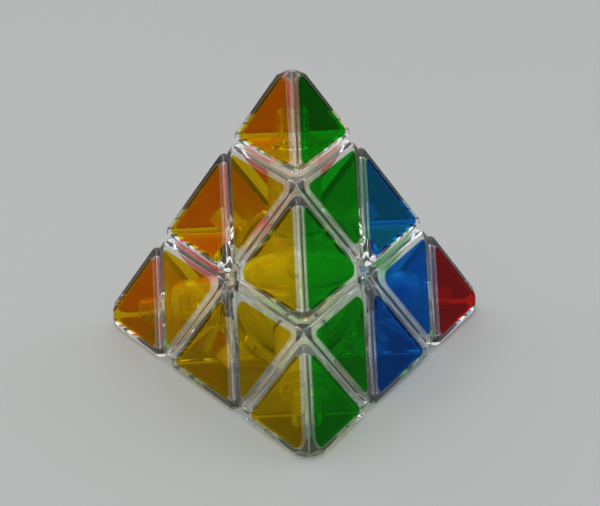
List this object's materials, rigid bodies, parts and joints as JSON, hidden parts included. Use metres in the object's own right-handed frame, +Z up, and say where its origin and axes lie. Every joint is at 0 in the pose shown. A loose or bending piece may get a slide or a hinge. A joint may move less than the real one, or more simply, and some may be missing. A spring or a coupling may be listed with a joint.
{
  "type": "pyramid twisty puzzle",
  "caption": "Pyramid-shaped twisty puzzle of clear hollow pieces with coloured film faces; its corner layers and tips turn about a ball core.",
  "frame": {"origin": "middle of the core ball, where all the turning axes meet", "axes": "+Z up through the top corner, -Y towards the front corner, +X to the right; the puzzle stands on its base face"},
  "size_m": [0.0978, 0.0857, 0.0798],
  "materials": {
    "clear_plastic": "clear, polished, moulded",
    "film_yellow": "clear yellow film, glossy",
    "film_green": "clear green film, glossy",
    "film_red": "clear red film, glossy",
    "film_blue": "clear blue film, glossy",
    "steel": "bright"
  },
  "bodies": {
    "core": {"core_ball": "clear_plastic", "axis_screws": "steel", "axis_springs": "steel", "spring_washers": "steel"},
    "top_axial": {"top_axial_shell": "clear_plastic", "top_axial_tube": "clear_plastic", "top_axial_film_left": "film_yellow", "top_axial_film_right": "film_green", "top_axial_film_back": "film_red"},
    "top_tip": {"top_tip_shell": "clear_plastic", "top_tip_plug": "clear_plastic", "top_tip_films": "film_yellow"},
    "left_axial": {"left_axial_shell": "clear_plastic", "left_axial_tube": "clear_plastic", "left_axial_film_left": "film_yellow", "left_axial_film_back": "film_red", "left_axial_film_base": "film_blue"},
    "left_tip": {"left_tip_shell": "clear_plastic", "left_tip_plug": "clear_plastic", "left_tip_films": "film_yellow"},
    "right_axial": {"right_axial_shell": "clear_plastic", "right_axial_tube": "clear_plastic", "right_axial_film_right": "film_blue", "right_axial_film_back": "film_green", "right_axial_film_base": "film_red"},
    "right_tip": {"right_tip_shell": "clear_plastic", "right_tip_plug": "clear_plastic", "right_tip_films": "film_red"},
    "front_axial": {"front_axial_shell": "clear_plastic", "front_axial_tube": "clear_plastic", "front_axial_film_left": "film_yellow", "front_axial_film_right": "film_green", "front_axial_film_base": "film_blue"},
    "front_tip": {"front_tip_shell": "clear_plastic", "front_tip_plug": "clear_plastic", "front_tip_films": "film_green"},
    "top_left_edge": {"top_left_edge_shell": "clear_plastic", "top_left_edge_foot": "clear_plastic", "top_left_edge_film_left": "film_yellow", "top_left_edge_film_back": "film_red"},
    "top_right_edge": {"top_right_edge_shell": "clear_plastic", "top_right_edge_foot": "clear_plastic", "top_right_edge_film_right": "film_blue", "top_right_edge_film_back": "film_green"},
    "top_front_edge": {"top_front_edge_shell": "clear_plastic", "top_front_edge_foot": "clear_plastic", "top_front_edge_film_left": "film_yellow", "top_front_edge_film_right": "film_green"},
    "left_front_edge": {"left_front_edge_shell": "clear_plastic", "left_front_edge_foot": "clear_plastic", "left_front_edge_film_left": "film_yellow", "left_front_edge_film_base": "film_blue"},
    "left_right_edge": {"left_right_edge_shell": "clear_plastic", "left_right_edge_foot": "clear_plastic", "left_right_edge_film_back": "film_green", "left_right_edge_film_base": "film_red"},
    "right_front_edge": {"right_front_edge_shell": "clear_plastic", "right_front_edge_foot": "clear_plastic", "right_front_edge_film_right": "film_blue", "right_front_edge_film_base": "film_red"}
  },
  "joints": [
    {"name": "top_layer", "type": "hinge", "parent": "core", "child": "top_axial", "pos_m": [0, 0, 0], "axis": [0, 0, 1], "continuous": true},
    {"name": "left_layer", "type": "hinge", "parent": "core", "child": "left_axial", "pos_m": [0, 0, 0], "axis": [-0.8165, 0.4714, -0.3333], "range_deg": [-360, 360]},
    {"name": "right_layer", "type": "hinge", "parent": "core", "child": "right_axial", "pos_m": [0, 0, 0], "axis": [0.8165, 0.4714, -0.3333], "range_deg": [-360, 360]},
    {"name": "front_layer", "type": "hinge", "parent": "core", "child": "front_axial", "pos_m": [0, 0, 0], "axis": [0, -0.9428, -0.3333], "range_deg": [-360, 360]},
    {"name": "top_tip_twist", "type": "hinge", "parent": "top_axial", "child": "top_tip", "pos_m": [0, 0, 0], "axis": [0, 0, 1], "continuous": true},
    {"name": "left_tip_twist", "type": "hinge", "parent": "left_axial", "child": "left_tip", "pos_m": [0, 0, 0], "axis": [-0.8165, 0.4714, -0.3333], "continuous": true},
    {"name": "right_tip_twist", "type": "hinge", "parent": "right_axial", "child": "right_tip", "pos_m": [0, 0, 0], "axis": [0.8165, 0.4714, -0.3333], "continuous": true},
    {"name": "front_tip_twist", "type": "hinge", "parent": "front_axial", "child": "front_tip", "pos_m": [0, 0, 0], "axis": [0, -0.9428, -0.3333], "continuous": true},
    {"name": "top_left_edge_with_left_layer", "type": "hinge", "parent": "top_axial", "child": "top_left_edge", "pos_m": [0, 0, 0], "axis": [-0.8165, 0.4714, -0.3333], "range_deg": [-360, 360]},
    {"name": "top_right_edge_with_right_layer", "type": "hinge", "parent": "top_axial", "child": "top_right_edge", "pos_m": [0, 0, 0], "axis": [0.8165, 0.4714, -0.3333], "range_deg": [-360, 360]},
    {"name": "top_front_edge_with_front_layer", "type": "hinge", "parent": "top_axial", "child": "top_front_edge", "pos_m": [0, 0, 0], "axis": [0, -0.9428, -0.3333], "range_deg": [-360, 360]},
    {"name": "left_front_edge_with_front_layer", "type": "hinge", "parent": "left_axial", "child": "left_front_edge", "pos_m": [0, 0, 0], "axis": [0, -0.9428, -0.3333], "range_deg": [-360, 360]},
    {"name": "left_right_edge_with_right_layer", "type": "hinge", "parent": "left_axial", "child": "left_right_edge", "pos_m": [0, 0, 0], "axis": [0.8165, 0.4714, -0.3333], "range_deg": [-360, 360]},
    {"name": "right_front_edge_with_right_layer", "type": "hinge", "parent": "front_axial", "child": "right_front_edge", "pos_m": [0, 0, 0], "axis": [0.8165, 0.4714, -0.3333], "range_deg": [-360, 360]}
  ],
  "couplings": [
    {"joint": "top_left_edge_with_left_layer", "follows": "left_layer", "ratio": 1},
    {"joint": "top_right_edge_with_right_layer", "follows": "right_layer", "ratio": 1},
    {"joint": "top_front_edge_with_front_layer", "follows": "front_layer", "ratio": 1},
    {"joint": "left_front_edge_with_front_layer", "follows": "front_layer", "ratio": 1},
    {"joint": "left_right_edge_with_right_layer", "follows": "right_layer", "ratio": 1},
    {"joint": "right_front_edge_with_right_layer", "follows": "right_layer", "ratio": 1}
  ]
}
